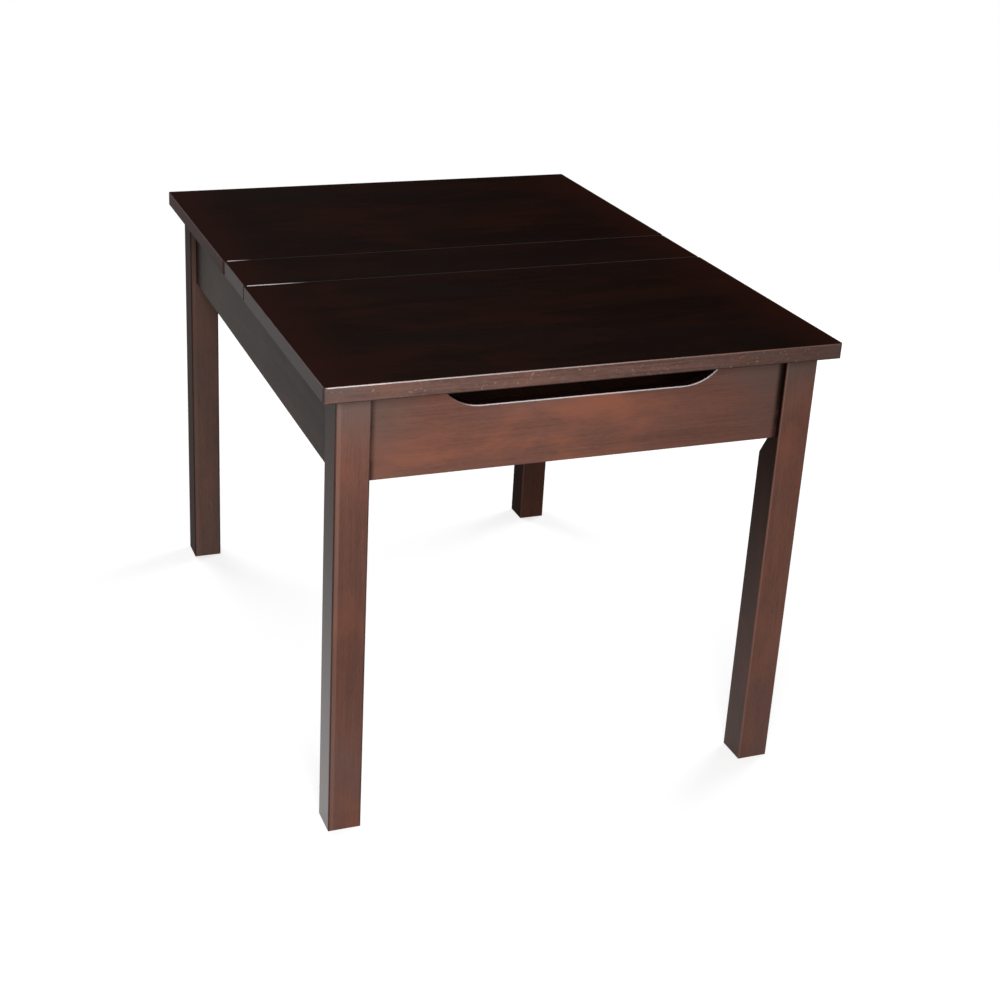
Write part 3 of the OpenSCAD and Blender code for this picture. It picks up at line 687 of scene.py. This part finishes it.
# Colours of marks: painted highlights, painted shade, darker right ends, a lighter strip
# and pale specks
PALE_HIGHLIGHT, RED_HIGHLIGHT = srgb(222, 208, 206), srgb(152, 106, 92)
SHADE_COLOUR, ARRIS_HIGHLIGHT, LIGHT = UPWARD_SHADE["dark"], srgb(146, 106, 92), srgb(158, 122, 110)
ARRIS_SHADE, DARK_RIGHT_TOP, DARK_RIGHT_APRON = srgb(62, 38, 31), srgb(70, 47, 41), srgb(86, 54, 45)
SPECK, SCOOP_HIGHLIGHT, HINGE_HIGHLIGHT = srgb(190, 170, 152), srgb(206, 204, 208), srgb(235, 229, 224)

# Finishes. Their marks are painted highlights on edges and painted shade on lower edges, in
# seams, under the lids and beside the legs, with darker right ends and pale specks
TOP = dict(palette=EDGE, up=UPWARD_SHADE, gloss=(0.28, 0.06), side=(0.5, 0.5), fibre=0.8,
           figure=0.6, stave=STAVE, bare=seam_walls,
           marks=((right_end, DARK_RIGHT_TOP, 0.50), (specks, SPECK, 0.30),
                  (lower_edges, SHADE_COLOUR, 0.6), (seam_walls, SHADE_COLOUR, 0.92),
                  (top_edge_highlight, highlight_colour, 0.95)))
APRON = dict(palette=BROWN, up=UPWARD_SHADE, where=scoop_walls, warmth=0.75,
             marks=((right_end, DARK_RIGHT_APRON, 0.35), (under_lid, SHADE_COLOUR, 0.45),
                    (beside_legs, SHADE_COLOUR, 0.95), (scoop_highlight, SCOOP_HIGHLIGHT, 0.95)))
FLANK = dict(gloss=0.18, figure=0.9, smoke=0.6, ends=0.4,
             marks=((under_lid, SHADE_COLOUR, 0.45), (beside_legs, SHADE_COLOUR, 0.8)))
# Leg marks: painted shade under the lids and on the left legs' arrises, a painted highlight
# on the right legs' arrises
LEFT_LEG = dict(warmth=0.45, smoke=0.4,
                marks=((leg_borders, LIGHT, 0.3), (under_lid, SHADE_COLOUR, 0.45),
                       (leg_arrises, ARRIS_SHADE, 0.85)))
RIGHT_LEG = dict(warmth=0.45, smoke=0.4,
                 marks=((under_lid, SHADE_COLOUR, 0.45), (leg_arrises, ARRIS_HIGHLIGHT, 0.5)))
INSIDE = dict(palette=INNER, rough=0.6, gloss=0.1, fibre=0.7, figure=0.8)
RAW = dict(palette=BARE, rough=0.7, gloss=0.0, smoke=0.2)


def paint(material, *names):
    for name in names:
        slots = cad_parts[name].data.materials
        for i in range(len(slots)):
            slots[i] = material
        if not slots:
            slots.append(material)


def board(name, grain, palette, **finish):
    """Paint one board, whose box says where its ends are."""
    paint(wood(name + "_wood", grain, palette, box=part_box(name), **finish), name)


make_camera()
make_world()
make_floor()
lamp("key", azimuth=-15.0, elevation=24.0, distance=1.6, size=0.8, level=0.62)
lamp("side", azimuth=115.0, elevation=25.0, distance=3.6, size=2.0, level=0.58)
lamp("rear", azimuth=200.0, elevation=38.0, distance=3.8, size=2.0, level=0.40)
bpy.context.scene.view_settings.view_transform = "Standard"

board("front_lid", X, seed=1.3, **TOP)
board("rear_lid", X, seed=4.1, **dict(TOP, palette=REAR_EDGE, gloss=(0.14, 0.06)))
board("centre_strip", X, seed=2.2, **TOP)
board("front_apron", X, seed=3.1, **APRON)
board("rear_apron", X, seed=5.4, **APRON)
board("left_apron", Y, SHADED_SIDE, seed=6.2, **FLANK)
board("right_apron", Y, BROWN, seed=7.2, **FLANK)
# Each leg's shade, side and fade are painted light and shade
board("leg_front_left", Z, BROWN, seed=8.5, gloss=0.23, shade=1.12, side=(0.38, 0.42),
      sheen=0.95, fade=0.71, **LEFT_LEG)
board("leg_front_right", Z, BROWN, seed=9.5, gloss=(0.40, 0.04), shade=0.94,
      side=(0.66, 0.06), **RIGHT_LEG)
board("leg_rear_left", Z, LIT_BROWN, seed=10.5, gloss=0.10, shade=1.30, side=(0.36, 0.36),
      **LEFT_LEG)
board("leg_rear_right", Z, BROWN, seed=11.5, gloss=0.05, shade=0.72, side=(0.20, 0.30),
      **RIGHT_LEG)
CORNERS = ("front_left", "front_right", "rear_left", "rear_right")
for number, corner in enumerate(CORNERS):
    board("corner_block_" + corner, Z, seed=12.5 + number, **INSIDE)
paint(
    wood("cross_wood", X, seed=17.0, **INSIDE),
    "front_cleat", "rear_cleat", "divider", "strip_front_cleat", "strip_rear_cleat",
)
paint(wood("long_wood", Y, seed=18.0, **INSIDE), "left_cleat", "right_cleat")
paint(
    wood("panel_wood", Y, PANEL, seed=19.0, gloss=0.12, fibre=0.8, figure=0.9),
    "floor_panel",
)
paint(wood("dowel_wood", X, seed=20.0, **RAW), "apron_dowels")
paint(wood("pin_wood", Z, seed=21.0, **RAW), "strip_dowels")

bronze = metal("bronze_steel", srgb(52, 43, 38), srgb(42, 35, 31), rough=0.45,
               metallic=0.0, shine=0.25)
paint(bronze, "floor_screws", "stay_knobs")
# Each hinge gets a painted highlight at its left end
for end, highlight_span in (("front", (-0.280, -0.225)), ("rear", (-0.308, -0.272))):
    steel = metal(end + "_hinge_steel", srgb(34, 28, 25), srgb(27, 22, 20), rough=0.60,
                  metallic=0.0, shine=0.05, highlight_span=highlight_span)
    paint(
        steel,
        end + "_hinge_fixed_leaf", end + "_hinge_lid_leaf", end + "_hinge_pin",
    )
    paint(
        bronze,
        end + "_hinge_fixed_screws", end + "_hinge_lid_screws",
        end + "_stay_left", end + "_stay_right", end + "_stay_screws",
    )
paint(
    metal("zinc_steel", srgb(205, 207, 210), srgb(186, 189, 193), rough=0.30,
          metallic=1.0),
    "corner_block_screws", "leg_bolts", "leg_bolt_washers", "leg_bolt_nuts",
    "cleat_screws", "divider_screws", "strip_screws",
)
paint(
    metal("nylon", srgb(34, 34, 35), srgb(28, 28, 29), rough=0.55, metallic=0.0,
          shine=0.4, scale=900.0),
    "stay_spacers",
)
